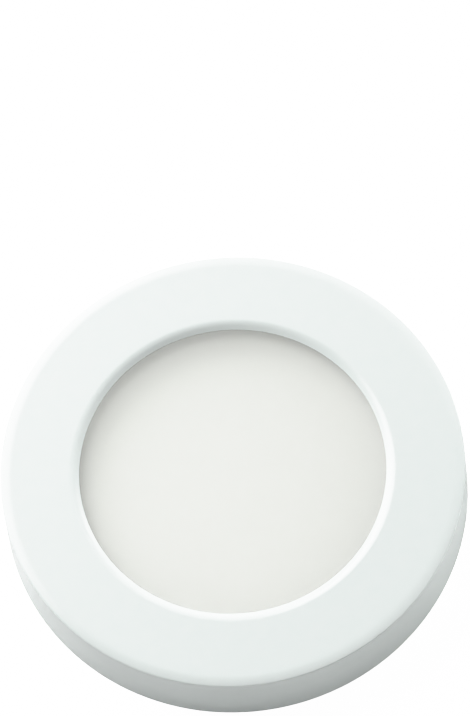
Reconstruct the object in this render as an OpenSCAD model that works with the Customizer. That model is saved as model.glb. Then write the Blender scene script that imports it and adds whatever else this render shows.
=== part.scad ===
// Slim edge-lit LED button light, surface mounted, 70 mm across.
// The back face lies on z = 0 and the light leaves along +Z.
// The optical stack hangs down from the lip of the housing. The circuit board hangs under the stack.

/* [Housing] */
// Thickness of the side wall
wall_t = 1.6; // [1.2:0.1:2]
// Thickness of the front face ring
face_t = 1.6; // [1.2:0.1:1.8]
// Width of the border where the front face curves down a little
crown_w = 1.7; // [1:0.1:3]
// Radius of that shallow curve
crown_r = 6; // [4:0.5:12]
// Rounding of the crisp outer front edge
edge_r = 0.25; // [0.1:0.05:0.6]
// Rounding of the foot of the side wall
foot_r = 0.3; // [0.1:0.1:0.8]
// Diameter of the opening where its bevel meets the front face
opening_d = 48.2; // [40:0.2:80]
// Width of the bevel round the opening
bevel_w = 0.95; // [0.4:0.05:1.5]
// Depth of the lip that holds the diffuser
lip_t = 0.7; // [0.5:0.05:0.9]
// Upright land at the foot of the bevel
lip_land = 0.12; // [0.08:0.02:0.3]
// Wide rounding where the bevel meets the front face
lip_r = 2; // [0.5:0.1:2.4]
// Number of stiffening ribs behind the face ring
rib_count = 12; // [6:1:18]
// Thickness of the stiffening ribs and webs
rib_t = 0.8; // [0.6:0.1:1.2]
// Height of the stiffening ribs
rib_h = 1.4; // [0.8:0.1:2]

/* [Optical stack] */
// Thickness of the opal diffuser
diffuser_t = 1.2; // [1:0.1:1.5]
// How far the lip covers the edge of the diffuser
lip_cover = 2.7; // [1.5:0.1:4]
// Thickness of the clear light guide
guide_t = 3; // [2.6:0.1:5]
// How much smaller the light guide's radius is than the diffuser's
guide_inset = 0.3; // [0.2:0.05:0.6]
// Air gap above and below the guide, which keeps the light inside it
air_gap = 0.05; // [0.02:0.01:0.1]
// Thickness of the white reflector film
film_t = 0.25; // [0.15:0.05:0.4]
// Thickness of the foam pad
foam_t = 0.5; // [0.3:0.1:0.8]
// Rings of dimples on the back of the light guide
dimple_rings = 5; // [3:1:6]
// Diameter of the dimples at the centre of the guide
dimple_d = 1.2; // [0.8:0.1:1.4]
// Depth of the dimples
dimple_h = 0.2; // [0.1:0.05:0.3]

/* [Heat tray] */
// Thickness of the aluminium sheet
tray_t = 0.8; // [0.6:0.1:1]
// Rounding of the bend at the foot of the rim
bend_r = 0.5; // [0.3:0.05:0.55]
// Width of each fixing ear
ear_w = 5; // [4.6:0.1:6]
// Width of the slot that lets the leads out
lead_slot_w = 4.4; // [4:0.1:6]

/* [LED strip] */
// Number of LEDs round the guide
led_count = 24; // [12:6:24]
// Length of an LED along the strip
led_w = 3; // [2.4:0.1:3.2]
// Width of an LED across the strip
led_h = 1.4; // [1:0.1:1.8]
// How far an LED stands off the strip
led_depth = 0.8; // [0.6:0.1:1]
// Gap between the LEDs and the light guide
led_gap = 0.1; // [0.05:0.05:0.3]
// Width of the flexible strip
strip_w = 3.4; // [2.8:0.1:3.4]
// Thickness of the flexible strip
strip_t = 0.2; // [0.15:0.05:0.3]
// Gap between the two ends of the strip
strip_gap = 0.8; // [0.4:0.1:1.2]
// Thickness of the adhesive tape behind the strip
tape_t = 0.15; // [0.1:0.05:0.25]
// Diameter of the two leads
lead_d = 0.8; // [0.6:0.1:0.9]
// Distance between the two leads
lead_pitch = 2.4; // [2:0.1:2.6]
// How far the leads reach over the edge of the board
lead_reach = 2.5; // [1:0.5:3.5]

/* [Driver board] */
// Gap between the edge of the circuit board and the head of a fixing screw
board_gap = 0.8; // [0.3:0.1:2]
// Thickness of the circuit board
board_t = 0.8; // [0.6:0.1:1]
// How far the thermal pad stays inside the edge of the board
pad_inset = 2; // [0.5:0.5:4]
// Thickness of the thermal pad
pad_t = 0.25; // [0.15:0.05:0.4]
// Height of the terminal block
terminal_h = 1.9; // [1.6:0.1:2]
// Diameter of its two wire entries
terminal_bore = 1.1; // [0.8:0.1:1.2]
// Height of the inductor
inductor_h = 1.8; // [1.2:0.1:2]
// Height of the diode
diode_h = 1.7; // [1.2:0.1:2]
// Room between the tallest part on the board and the back cover
parts_gap = 0.3; // [0.1:0.05:1]

/* [Back cover] */
// Thickness of the back cover
cover_t = 1.2; // [1:0.1:1.3]
// Slant round the edge of its outer face, which leads it into the housing
cover_chamfer = 0.3; // [0.1:0.05:0.5]
// Gap between the round end of a keyhole and the screw bosses
key_gap = 1; // [0.3:0.1:2]
// Diameter of the round end of a keyhole, for the screw head
key_head_d = 6.4; // [5.6:0.1:6.6]
// Width of the narrow part of a keyhole, for the screw shank
key_slot_w = 3.4; // [2.6:0.1:3.8]
// Turn that locks the light on its screws, in degrees
key_turn = 18; // [15:1:30]
// Diameter of the cable bore in the rubber grommet
cable_bore = 3; // [2:0.1:3.6]
// Diameter of the neck of the grommet
grommet_neck_d = 5.6; // [5:0.1:6]
// Diameter of the flanges of the grommet
grommet_flange_d = 8; // [7:0.1:9]
// Depth of the recess for the outer flange
grommet_recess = 0.6; // [0.4:0.1:0.8]
// Thickness of the inner flange
grommet_inner_t = 0.7; // [0.5:0.1:1]

/* [Screws and fits] */
// Diameter of the bosses in the housing
boss_d = 4.6; // [4:0.1:6]
// Gap between a boss and the tray's rim, and between it and the side wall
boss_gap = 0.6; // [0.4:0.1:1.5]
// Thread diameter of all the screws
screw_d = 2; // [1.6:0.1:2.2]
// Length of the cover screws' thread
cover_screw_l = 5.5; // [4:0.5:6.5]
// Length of the tray screws' thread
tray_screw_l = 3; // [2.5:0.1:3.2]
// Head diameter of the screws
head_d = 3.8; // [3.4:0.1:4]
// Head height of the pan-head tray screws
pan_h = 1.1; // [0.8:0.1:1.4]
// Height of the countersunk head of the cover screws
sunk_h = 0.9; // [0.7:0.05:0.95]
// Clearance where one piece sits inside another
fit = 0.2; // [0.1:0.05:0.3]
// Clearance between a screw and its hole
screw_fit = 0.05; // [0.02:0.01:0.1]

/* [Hidden] */
$fn = 96;

// Overlap of a cut beyond the surface that it opens
cut = 0.5;
// Smallest gap left where a flat back stands against a round wall
touch = 0.01;
// Steps in the rounding arcs of the turned outlines
arc_steps = 12;

// Radii, from the opening outward
opening_r = opening_d / 2;
clear_r = opening_r - bevel_w;
diffuser_r = clear_r + lip_cover;
rebate_r = diffuser_r + fit;
guide_r = diffuser_r - guide_inset;
strip_in_r = guide_r + led_gap + max(led_depth, lead_d);
strip_out_r = strip_in_r + strip_t;
tray_in_r = strip_out_r + tape_t;
tray_out_r = tray_in_r + tray_t;
boss_place_r = tray_out_r + boss_gap + boss_d / 2;
skirt_in_r = boss_place_r + boss_d / 2 + boss_gap;
outer_r = skirt_in_r + wall_t;
cover_r = skirt_in_r - fit;

// Radii, from the bosses inward
key_r = boss_place_r - boss_d / 2 - key_gap - key_head_d / 2;
board_r = key_r - key_head_d / 2 - board_gap;
pad_r = board_r - pad_inset;

// Heights, from the back face up
parts_h = max(terminal_h, inductor_h, diode_h, lead_d);
board_z = cover_t + parts_gap + parts_h;
board_top_z = board_z + board_t;
tray_z = board_top_z + pad_t;
foam_z = tray_z + tray_t;
film_z = foam_z + foam_t;
guide_z = film_z + film_t + air_gap;
diffuser_z = guide_z + guide_t + air_gap;
lip_z = diffuser_z + diffuser_t;
height = lip_z + lip_t;
face_z = height - face_t;
lead_z = board_z - lead_d / 2;
led_z = guide_z + guide_t / 2;

// Places of the screws and the keyholes, in degrees round the axis
cover_screw_turns = [30, 150, 270];
tray_screw_turns = [90, 210, 330];
keyhole_turns = [90, 270];

// Sizes of the small electronic parts, as length, width and height
bridge_size = [4.4, 4.8, 1.4];
chip_size = [1.6, 2.9, 1.1];
inductor_side = 4.4;
capacitor_size = [3.2, 1.6, 1.2];
resistor_size = [3.2, 1.6, 0.55];
diode_size = [4.2, 2.6, diode_h];
terminal_size = [6.4, 6, terminal_h];
// Thickness of the legs of the small parts
leg_t = 0.25;
// Rows of legs, as count, pitch, width and reach
bridge_legs = [2, 2.6, 0.8, 1];
chip_legs = [[3, 0.95, 0.4, 0.6], [2, 1.9, 0.4, 0.6]];
diode_legs = [1, 0, 1.4, 0.6];

// Where the small parts sit on the board, as distance from the middle, bearing and turn.
// A distance is a share of the board's radius.
bridge_place = [0.6, 114, 0];
chip_place = [0.48, 0, 0];
inductor_place = [0.6, 60, 0];
diode_place = [0.6, 298, 0];
capacitor_places = [[0.48, 250, 0], [0.66, 258, 0], [0.65, 332, 90]];
resistor_places = [[0.72, 29, 90], [0.68, 225, 45], [0.75, 147, 45], [0.75, 205, 90]];
terminal_place = [0.53, 180, 0];

// Points along an arc round a centre, ends included
function arc_points(centre, radius, start, end) = [
    for (i = [0:arc_steps])
        let (a = start + (end - start) * i / arc_steps)
        centre + radius * [cos(a), sin(a)]
];

// Turned outline of the housing: face ring, side wall, bevelled lip and the rebate for the diffuser
function housing_outline() =
    let (
        bevel_h = lip_t - lip_land,
        slope = atan2(bevel_h, bevel_w),
        // The rounding touches both the face and the bevel
        reach = lip_r * tan(slope / 2),
        // The crisp edge touches both the side wall and the shallow curve of the crown
        edge_w = crown_w - edge_r,
        edge_h = sqrt(pow(crown_r - edge_r, 2) - pow(edge_w, 2)),
        edge_turn = atan2(edge_h, edge_w)
    )
    concat(
        [[skirt_in_r, 0]],
        arc_points([outer_r - foot_r, foot_r], foot_r, -90, 0),
        arc_points([outer_r - edge_r, height - crown_r + edge_h], edge_r, 0, edge_turn),
        arc_points([outer_r - crown_w, height - crown_r], crown_r, edge_turn, 90),
        arc_points([opening_r + reach, height - lip_r], lip_r, 90, 90 + slope),
        [
            [clear_r, lip_z + lip_land],
            [clear_r, lip_z],
            [rebate_r, lip_z],
            [rebate_r, face_z],
            [skirt_in_r, face_z]
        ]
    );

// A ring with square edges
module ring(inner_r, outer_r, low_z, high_z) {
    difference() {
        translate([0, 0, low_z]) cylinder(r = outer_r, h = high_z - low_z);
        translate([0, 0, low_z - cut]) cylinder(r = inner_r, h = high_z - low_z + 2 * cut);
    }
}

// Copies its child to each given turn at the radius of the bosses
module at_bosses(turns) {
    for (turn = turns) {
        rotate([0, 0, turn]) translate([boss_place_r, 0, 0]) children();
    }
}

// A screw boss with the web that ties it to the side wall
module boss(low_z) {
    tall = face_z - low_z + touch;
    translate([0, 0, low_z]) cylinder(d = boss_d, h = tall, $fn = 48);
    translate([0, -rib_t / 2, low_z]) cube([skirt_in_r - boss_place_r + touch, rib_t, tall]);
}

// Places a small part on the underside of the board, growing down towards the back cover
module on_board(place) {
    distance = place[0] * board_r;
    translate([distance * cos(place[1]), distance * sin(place[1]), board_z])
        rotate([180, 0, place[2]]) children();
}

// A block centred in x and y that stands on z = 0
module block(size) {
    translate([-size[0] / 2, -size[1] / 2, 0]) cube(size);
}

// A chip resistor or capacitor: its body and two slightly larger end caps
module chip_part(size) {
    cap_w = size[0] / 6;
    body = [size[0] - 2 * touch, size[1] - 2 * touch, size[2] - touch];
    block(body);
    for (side = [-1, 1]) {
        translate([side * (size[0] - cap_w) / 2, 0, 0]) block([cap_w, size[1], size[2]]);
    }
}

// A row of flat legs on the board, along one side of a package of the given length
module legs(body_l, side, row) {
    reach = row[3];
    for (i = [0:row[0] - 1]) {
        translate([side * (body_l / 2 - touch + reach / 2), (i - (row[0] - 1) / 2) * row[1], 0])
            block([reach, row[2], leg_t]);
    }
}

// White glossy housing, moulded in one piece
module housing() color("#f1f5f5") {
    locating_r = tray_out_r + fit;
    difference() {
        union() {
            rotate_extrude($fn = 160) polygon(housing_outline());
            // Ring that centres the heat tray
            ring(locating_r, locating_r + rib_t, face_z - rib_h, face_z + touch);
            for (i = [0:rib_count - 1]) {
                rotate([0, 0, (i + 0.5) * 360 / rib_count])
                    translate([locating_r + touch, -rib_t / 2, face_z - rib_h])
                    cube([skirt_in_r - locating_r, rib_t, rib_h + touch]);
            }
            at_bosses(cover_screw_turns) boss(cover_t);
            at_bosses(tray_screw_turns) boss(tray_z + tray_t);
        }
        at_bosses(cover_screw_turns) pilot_hole(cover_t, cover_screw_l);
        at_bosses(tray_screw_turns) pilot_hole(tray_z + tray_t, tray_screw_l);
    }
}

// Blind hole for the thread of a screw
module pilot_hole(low_z, thread_l) {
    translate([0, 0, low_z - cut])
        cylinder(d = screw_d + 2 * screw_fit, h = thread_l + fit + cut, $fn = 32);
}

// Opal disc seen through the opening
module diffuser() color("#eef0ed") {
    translate([0, 0, diffuser_z]) cylinder(r = diffuser_r, h = diffuser_t);
}

// Clear guide that spreads the light of the LEDs. Its dimples grow towards the middle.
module light_guide() color("#cfe6ee") {
    ring_step = (guide_r - dimple_d) / (dimple_rings + 0.5);
    difference() {
        translate([0, 0, guide_z]) cylinder(r = guide_r, h = guide_t);
        dimple(dimple_d);
        for (row = [1:dimple_rings], i = [0:6 * row - 1]) {
            rotate([0, 0, i * 60 / row]) translate([row * ring_step, 0, 0])
                dimple(dimple_d * (1 - 0.5 * row / dimple_rings));
        }
    }
}

// One shallow cone in the back of the guide
module dimple(wide) {
    deep = dimple_h + touch;
    translate([0, 0, guide_z - touch]) cylinder(d1 = wide, d2 = wide / 4, h = deep, $fn = 16);
}

// White film that sends stray light forward
module reflector_film() color("#fbfbf8") {
    translate([0, 0, film_z]) cylinder(r = guide_r, h = film_t);
}

// Soft pad that keeps the stack pressed against the lip
module foam_pad() color("#d9dadb") {
    translate([0, 0, foam_z]) cylinder(r = guide_r, h = foam_t);
}

// Pressed aluminium tray. Its rim stops at the three flat ears.
module heat_tray() color("#b9bec3") {
    difference() {
        union() {
            difference() {
                rotate_extrude($fn = 128) polygon(concat(
                    [[0, tray_z]],
                    arc_points([tray_out_r - bend_r, tray_z + bend_r], bend_r, -90, 0),
                    [[tray_out_r, face_z], [tray_in_r, face_z], [tray_in_r, foam_z], [0, foam_z]]
                ));
                for (turn = tray_screw_turns) {
                    rotate([0, 0, turn])
                        translate([guide_r, -ear_w / 2 - fit, foam_z])
                        cube([tray_out_r - guide_r + cut, ear_w + 2 * fit, face_z - foam_z + cut]);
                }
            }
            for (turn = tray_screw_turns) {
                rotate([0, 0, turn]) {
                    translate([guide_r, -ear_w / 2, tray_z]) cube([boss_place_r - guide_r, ear_w, tray_t]);
                    translate([boss_place_r, 0, tray_z]) cylinder(d = ear_w, h = tray_t, $fn = 48);
                }
            }
        }
        at_bosses(tray_screw_turns)
            translate([0, 0, tray_z - cut])
            cylinder(d = screw_d + 2 * fit, h = tray_t + 2 * cut, $fn = 32);
        translate([guide_r - touch, -lead_slot_w / 2, tray_z - cut])
            cube([tray_in_r - guide_r + tray_t / 2, lead_slot_w, tray_t + 2 * cut]);
    }
}

// Pan-head screws that hold the tray up against its bosses
module tray_screws() color("#c9ccd0") {
    dome_r = 0.4;
    at_bosses(tray_screw_turns) translate([0, 0, tray_z]) {
        difference() {
            rotate_extrude($fn = 48) polygon(concat(
                [[0, -pan_h]],
                arc_points([head_d / 2 - dome_r, dome_r - pan_h], dome_r, -90, 0),
                [
                    [head_d / 2, 0],
                    [screw_d / 2, 0],
                    [screw_d / 2, tray_t + tray_screw_l - screw_d / 4],
                    [screw_d / 4, tray_t + tray_screw_l],
                    [0, tray_t + tray_screw_l]
                ]
            ));
            cross_recess(-pan_h);
        }
    }
}

// Cross recess in a screw head that faces down, starting at the given height
module cross_recess(low_z) {
    recess_w = head_d / 7;
    recess_l = head_d / 2;
    for (turn = [0, 90]) {
        rotate([0, 0, turn])
            translate([-recess_l / 2, -recess_w / 2, low_z - cut])
            cube([recess_l, recess_w, cut + sunk_h / 2]);
    }
}

// Flexible circuit on edge round the guide, open at the leads
module led_strip() color("#f4f4ee") {
    low_z = led_z - strip_w / 2;
    high_z = min(led_z + strip_w / 2, face_z - touch);
    difference() {
        ring(strip_in_r, strip_out_r, low_z, high_z);
        translate([0, -strip_gap / 2, low_z - cut]) cube([outer_r, strip_gap, strip_w + 2 * cut]);
    }
}

// Adhesive tape between the strip and the rim of the tray
module strip_tape() color("#e8d9b0") {
    low_z = led_z - strip_w / 2 + touch;
    high_z = min(led_z + strip_w / 2, face_z) - 2 * touch;
    difference() {
        ring(strip_out_r, tray_in_r, low_z, high_z);
        translate([0, -strip_gap / 2, low_z - cut]) cube([outer_r, strip_gap, strip_w + 2 * cut]);
    }
}

// LEDs that shine inward into the edge of the guide
module leds() color("#f6e27a") {
    back_x = sqrt(pow(strip_in_r, 2) - pow(led_w / 2, 2)) - touch;
    lens_w = led_w * 0.72;
    lens_h = led_h * 0.66;
    lens_sink = led_depth / 8;
    for (i = [0:led_count - 1]) {
        rotate([0, 0, (i + 0.5) * 360 / led_count])
            difference() {
                translate([back_x - led_depth, -led_w / 2, led_z - led_h / 2])
                    cube([led_depth, led_w, led_h]);
                translate([back_x - led_depth - cut, -lens_w / 2, led_z - lens_h / 2])
                    cube([cut + lens_sink, lens_w, lens_h]);
            }
    }
}

// Insulated lead, soldered to the strip and led down through the tray to the board
module lead(side) {
    place_r = strip_in_r - lead_d / 2 - touch;
    place_y = side * lead_pitch / 2;
    place_x = sqrt(pow(place_r, 2) - pow(place_y, 2));
    end_x = board_r - lead_reach;
    bend_r = lead_d;
    translate([place_x, place_y, lead_z + bend_r])
        cylinder(d = lead_d, h = led_z - lead_z - bend_r, $fn = 24);
    translate([place_x - bend_r, place_y, lead_z + bend_r])
        rotate([90, 90, 0])
        rotate_extrude(angle = 90, $fn = 32)
        translate([bend_r, 0]) circle(d = lead_d, $fn = 24);
    translate([end_x, place_y, lead_z]) rotate([0, 90, 0])
        cylinder(d = lead_d, h = place_x - bend_r - end_x, $fn = 24);
}

module red_lead() color("#c62828") {
    lead(1);
}

module black_lead() color("#262626") {
    lead(-1);
}

// Adhesive pad that holds the board and takes its heat into the tray
module thermal_pad() color("#9fb4c7") {
    translate([0, 0, board_top_z]) cylinder(r = pad_r, h = pad_t);
}

// Round circuit board with two index notches
module driver_board() color("#2f6b45") {
    notch_d = 3;
    difference() {
        translate([0, 0, board_z]) cylinder(r = board_r, h = board_t);
        for (side = [-1, 1]) {
            translate([0, side * board_r, board_z - cut])
                cylinder(d = notch_d, h = board_t + 2 * cut, $fn = 32);
        }
    }
}

// Surface-mount bridge rectifier with four legs
module bridge_rectifier() color("#232323") {
    on_board(bridge_place) {
        block(bridge_size);
        for (side = [-1, 1]) {
            legs(bridge_size[0], side, bridge_legs);
        }
    }
}

// Five-leg constant-current driver chip
module driver_chip() color("#1f1f1f") {
    on_board(chip_place) {
        block(chip_size);
        legs(chip_size[0], 1, chip_legs[0]);
        legs(chip_size[0], -1, chip_legs[1]);
    }
}

// Shielded inductor: a square base and a round ferrite core
module inductor() color("#4a4a4a") {
    base_h = inductor_h / 4;
    on_board(inductor_place) {
        block([inductor_side, inductor_side, base_h]);
        translate([0, 0, base_h - touch])
            cylinder(d = inductor_side - fit, h = inductor_h - base_h + touch, $fn = 64);
    }
}

// Ceramic capacitors
module capacitors() color("#b99a6b") {
    for (place = capacitor_places) {
        on_board(place) chip_part(capacitor_size);
    }
}

// Chip resistors
module resistors() color("#30343a") {
    for (place = resistor_places) {
        on_board(place) chip_part(resistor_size);
    }
}

// Diode with its two flat tabs
module diode() color("#2a2a2a") {
    on_board(diode_place) {
        block(diode_size);
        for (side = [-1, 1]) {
            legs(diode_size[0], side, diode_legs);
        }
    }
}

// Two-pole push-in terminal block. Its wire entries face the grommet.
module terminal_block() color("#f2f2f2") {
    entry_pitch = terminal_size[1] / 2;
    entry_l = 4;
    release_side = 1.2;
    release_h = terminal_h / 4;
    on_board(terminal_place) difference() {
        block(terminal_size);
        for (side = [-1, 1]) {
            translate([terminal_size[0] / 2 - entry_l, side * entry_pitch / 2, terminal_h / 2])
                rotate([0, 90, 0]) cylinder(d = terminal_bore, h = entry_l + cut, $fn = 32);
            translate([-terminal_size[0] / 4, side * entry_pitch / 2, terminal_h - release_h])
                block([release_side, release_side, release_h + cut]);
        }
    }
}

// Rubber grommet, snapped into the back cover. It stays just inside the back face.
module cable_grommet() color("#2b2b2b") {
    low_z = screw_fit;
    neck_low_z = grommet_recess - touch;
    neck_high_z = cover_t + touch;
    top_z = cover_t + grommet_inner_t;
    flange_r = grommet_flange_d / 2;
    neck_r = grommet_neck_d / 2;
    rotate_extrude($fn = 96) polygon([
        [cable_bore / 2, low_z],
        [flange_r - fit, low_z],
        [flange_r - fit, neck_low_z],
        [neck_r - screw_fit, neck_low_z],
        [neck_r - screw_fit, neck_high_z],
        [flange_r, neck_high_z],
        [flange_r - fit, top_z],
        [cable_bore / 2, top_z]
    ]);
}

// Keyhole through the back cover, bent round the axis so that the light locks with a turn
module keyhole() {
    tall = cover_t + 2 * cut;
    rotate([0, 0, -key_turn / 2]) {
        translate([key_r, 0, -cut]) cylinder(d = key_head_d, h = tall, $fn = 48);
        rotate_extrude(angle = key_turn, $fn = 128)
            translate([key_r - key_slot_w / 2, -cut]) square([key_slot_w, tall]);
        rotate([0, 0, key_turn]) translate([key_r, 0, -cut]) cylinder(d = key_slot_w, h = tall, $fn = 48);
    }
}

// Back cover with two keyholes, the grommet's hole and three countersunk holes
module back_cover() color("#eceff0") {
    difference() {
        rotate_extrude($fn = 128) polygon([
            [0, 0],
            [cover_r - cover_chamfer, 0],
            [cover_r, cover_chamfer],
            [cover_r, cover_t],
            [0, cover_t]
        ]);
        for (turn = keyhole_turns) {
            rotate([0, 0, turn]) keyhole();
        }
        translate([0, 0, -cut]) cylinder(d = grommet_neck_d, h = cover_t + 2 * cut);
        translate([0, 0, -cut]) cylinder(d = grommet_flange_d, h = grommet_recess + cut);
        at_bosses(cover_screw_turns) {
            translate([0, 0, -cut]) cylinder(d = screw_d + 2 * fit, h = cover_t + 2 * cut, $fn = 32);
            translate([0, 0, -touch])
                cylinder(d1 = head_d + 2 * fit, d2 = screw_d + 2 * fit, h = sunk_h + touch, $fn = 48);
        }
    }
}

// Countersunk screws that close the back
module cover_screws() color("#c9ccd0") {
    low_z = 2 * screw_fit;
    at_bosses(cover_screw_turns) difference() {
        rotate_extrude($fn = 48) polygon([
            [0, low_z],
            [head_d / 2, low_z],
            [screw_d / 2, sunk_h],
            [screw_d / 2, cover_t + cover_screw_l - screw_d / 4],
            [screw_d / 4, cover_t + cover_screw_l],
            [0, cover_t + cover_screw_l]
        ]);
        cross_recess(low_z);
    }
}

housing();
diffuser();
light_guide();
reflector_film();
foam_pad();
heat_tray();
tray_screws();
led_strip();
strip_tape();
leds();
red_lead();
black_lead();
thermal_pad();
driver_board();
bridge_rectifier();
driver_chip();
inductor();
capacitors();
resistors();
diode();
terminal_block();
cable_grommet();
back_cover();
cover_screws();
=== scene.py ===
# %% [markdown]
# A slim LED button light, 70 mm across, lies face up on a lit white table.
# A wide flat ring of glossy white plastic frames a frosted disc. Behind the disc sit a clear guide, a ring
# of LEDs, an aluminium tray and a small driver board.
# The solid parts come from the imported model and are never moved. This script gives them their finish and
# adds the fine things that solids leave out.

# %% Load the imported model
import math

import bmesh
import bpy
from mathutils import Matrix, Vector


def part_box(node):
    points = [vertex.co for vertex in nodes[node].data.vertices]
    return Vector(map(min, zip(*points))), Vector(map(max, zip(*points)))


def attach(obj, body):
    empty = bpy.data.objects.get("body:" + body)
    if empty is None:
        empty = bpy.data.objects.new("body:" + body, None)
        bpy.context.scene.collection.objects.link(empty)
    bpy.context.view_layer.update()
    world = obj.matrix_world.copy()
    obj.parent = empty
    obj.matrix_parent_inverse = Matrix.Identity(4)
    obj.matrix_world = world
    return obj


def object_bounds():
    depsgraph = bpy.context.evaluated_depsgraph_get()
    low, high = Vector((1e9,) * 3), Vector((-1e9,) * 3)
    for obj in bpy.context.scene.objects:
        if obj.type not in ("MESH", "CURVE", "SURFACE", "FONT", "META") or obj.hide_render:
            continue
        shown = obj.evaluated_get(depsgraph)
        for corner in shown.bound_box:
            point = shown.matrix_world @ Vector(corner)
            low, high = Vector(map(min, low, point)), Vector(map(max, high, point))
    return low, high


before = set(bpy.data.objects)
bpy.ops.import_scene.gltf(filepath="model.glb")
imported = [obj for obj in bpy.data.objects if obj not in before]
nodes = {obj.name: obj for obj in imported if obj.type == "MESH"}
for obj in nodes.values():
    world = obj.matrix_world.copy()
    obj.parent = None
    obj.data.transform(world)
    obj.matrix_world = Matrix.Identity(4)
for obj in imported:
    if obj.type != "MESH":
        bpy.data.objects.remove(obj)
cad_box = [list(corner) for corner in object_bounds()]
MM = 0.001
print("parts in the frame:", len(nodes))

# %% [markdown]
# The camera stands where the photographer's did. The outline of the light, seen as an ellipse, says how high
# that was, and the thin side wall says which way the picture was turned. A long lens far away keeps the
# circle from tapering, as in the photograph. The camera is aimed above the light, so the light sits low.

# %% Place the camera
PICTURE = (470, 716)
OUTER_RADIUS = 35 * MM
PIXELS_PER_RADIUS = 232.3
AXIS_PIXEL = (234.5, 483.4)
ELEVATION = math.radians(66.55)
ROLL = math.radians(8)
DISTANCE = 1.6
SENSOR = 36

low, high = (Vector(corner) for corner in cad_box)
middle = (low + high) / 2
pixels_per_metre = PIXELS_PER_RADIUS / OUTER_RADIUS
toward_camera = Vector((0, -math.cos(ELEVATION), math.sin(ELEVATION)))
level_right = Vector((1, 0, 0))
level_up = toward_camera.cross(level_right)
right = math.cos(ROLL) * level_right - math.sin(ROLL) * level_up
up = math.sin(ROLL) * level_right + math.cos(ROLL) * level_up
offset_right = (AXIS_PIXEL[0] - PICTURE[0] / 2) / pixels_per_metre
offset_down = (AXIS_PIXEL[1] - PICTURE[1] / 2) / pixels_per_metre
aim = middle - offset_right * right + offset_down * up

camera_data = bpy.data.cameras.new("camera")
camera_data.sensor_width = SENSOR
camera_data.lens = pixels_per_metre * DISTANCE * SENSOR / PICTURE[1]
camera_data.clip_end = 10
camera = bpy.data.objects.new("camera", camera_data)
turn = Matrix((right, up, toward_camera)).transposed().to_4x4()
camera.matrix_world = Matrix.Translation(aim + DISTANCE * toward_camera) @ turn
bpy.context.scene.collection.objects.link(camera)
bpy.context.scene.camera = camera
print(f"lens {camera_data.lens:.0f} mm, {DISTANCE} m away")

# %% [markdown]
# A material is a graph of nodes round one shader. These helpers make the shader, add a node to the graph and
# draw a link. With them, each finish below is only a few lines.

# %% Helpers: a new material and its nodes
def new_material(name, colour, roughness, metallic=0.0):
    material = bpy.data.materials.new(name)
    material.use_nodes = True
    shader = material.node_tree.nodes["Principled BSDF"]
    shader.inputs["Base Color"].default_value = (*colour, 1)
    shader.inputs["Roughness"].default_value = roughness
    shader.inputs["Metallic"].default_value = metallic
    return material, shader


def add_node(material, kind, **values):
    node = material.node_tree.nodes.new(kind)
    for name, value in values.items():
        if name in node.inputs:
            node.inputs[name].default_value = value
        else:
            setattr(node, name, value)
    return node


def link(material, source, target):
    material.node_tree.links.new(source, target)


# %% [markdown]
# Nothing real is one even colour or perfectly flat. Noise that is fixed to the object drives three things: a
# fine bump, a small drift of colour and a small drift of gloss. Its grain is given in millimetres, so that a
# finish keeps its true scale on every piece. A stretch turns the grain into lines.

# %% Helpers: grain, bump, and drift of colour and gloss
def place_noise(material, grain_mm, stretch=(1, 1, 1)):
    coordinates = add_node(material, "ShaderNodeTexCoord")
    scale = add_node(material, "ShaderNodeMapping", Scale=stretch)
    noise = add_node(material, "ShaderNodeTexNoise", Scale=1 / (grain_mm * MM))
    link(material, coordinates.outputs["Object"], scale.inputs["Vector"])
    link(material, scale.outputs["Vector"], noise.inputs["Vector"])
    return noise.outputs["Fac"]


def add_bump(material, shader, height, height_mm):
    bump = add_node(material, "ShaderNodeBump", Distance=height_mm * MM)
    link(material, height, bump.inputs["Height"])
    link(material, bump.outputs["Normal"], shader.inputs["Normal"])


def vary_colour(material, shader, noise, dark, light):
    ramp = add_node(material, "ShaderNodeValToRGB")
    ramp.color_ramp.elements[0].position = 0.3
    ramp.color_ramp.elements[1].position = 0.7
    ramp.color_ramp.elements[0].color = (*dark, 1)
    ramp.color_ramp.elements[1].color = (*light, 1)
    link(material, noise, ramp.inputs["Fac"])
    link(material, ramp.outputs["Color"], shader.inputs["Base Color"])


def vary_roughness(material, shader, noise, smooth, rough):
    spread = add_node(material, "ShaderNodeMapRange")
    spread.inputs["To Min"].default_value = smooth
    spread.inputs["To Max"].default_value = rough
    link(material, noise, spread.inputs["Value"])
    link(material, spread.outputs["Result"], shader.inputs["Roughness"])


# %% [markdown]
# Most pieces here are moulded, coated or plated, with an even fine grain. One helper makes all those
# finishes: a colour, a roughness, and a grain with its size and depth. Another puts a finish on parts of the
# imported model, through the slots that their meshes already have.

# %% Helpers: an even grained finish, and dressing a part
COLOUR_DRIFT = 0.05
GLOSS_DRIFT = 0.15


def grained(name, colour, roughness, grain_mm, height_mm, metallic=0.0, stretch=(1, 1, 1)):
    material, shader = new_material(name, colour, roughness, metallic)
    noise = place_noise(material, grain_mm, stretch)
    add_bump(material, shader, noise, height_mm)
    dark = [(1 - COLOUR_DRIFT) * part for part in colour]
    light = [min(1, (1 + COLOUR_DRIFT) * part) for part in colour]
    vary_colour(material, shader, noise, dark, light)
    vary_roughness(material, shader, noise, (1 - GLOSS_DRIFT) * roughness, (1 + GLOSS_DRIFT) * roughness)
    return material, shader


def dress(material, *names):
    for name in names:
        for slot in nodes[name].material_slots:
            slot.material = material
    print(material.name, "on", ", ".join(names))


# %% [markdown]
# The housing is injection-moulded plastic in glossy white, with a cool tint. Its face was made against a
# polished steel mould, so it is smooth, and only a faint ripple disturbs its reflections.
# The ripple is wide and a few micrometres deep. A finer or deeper one would look like paint.

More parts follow.
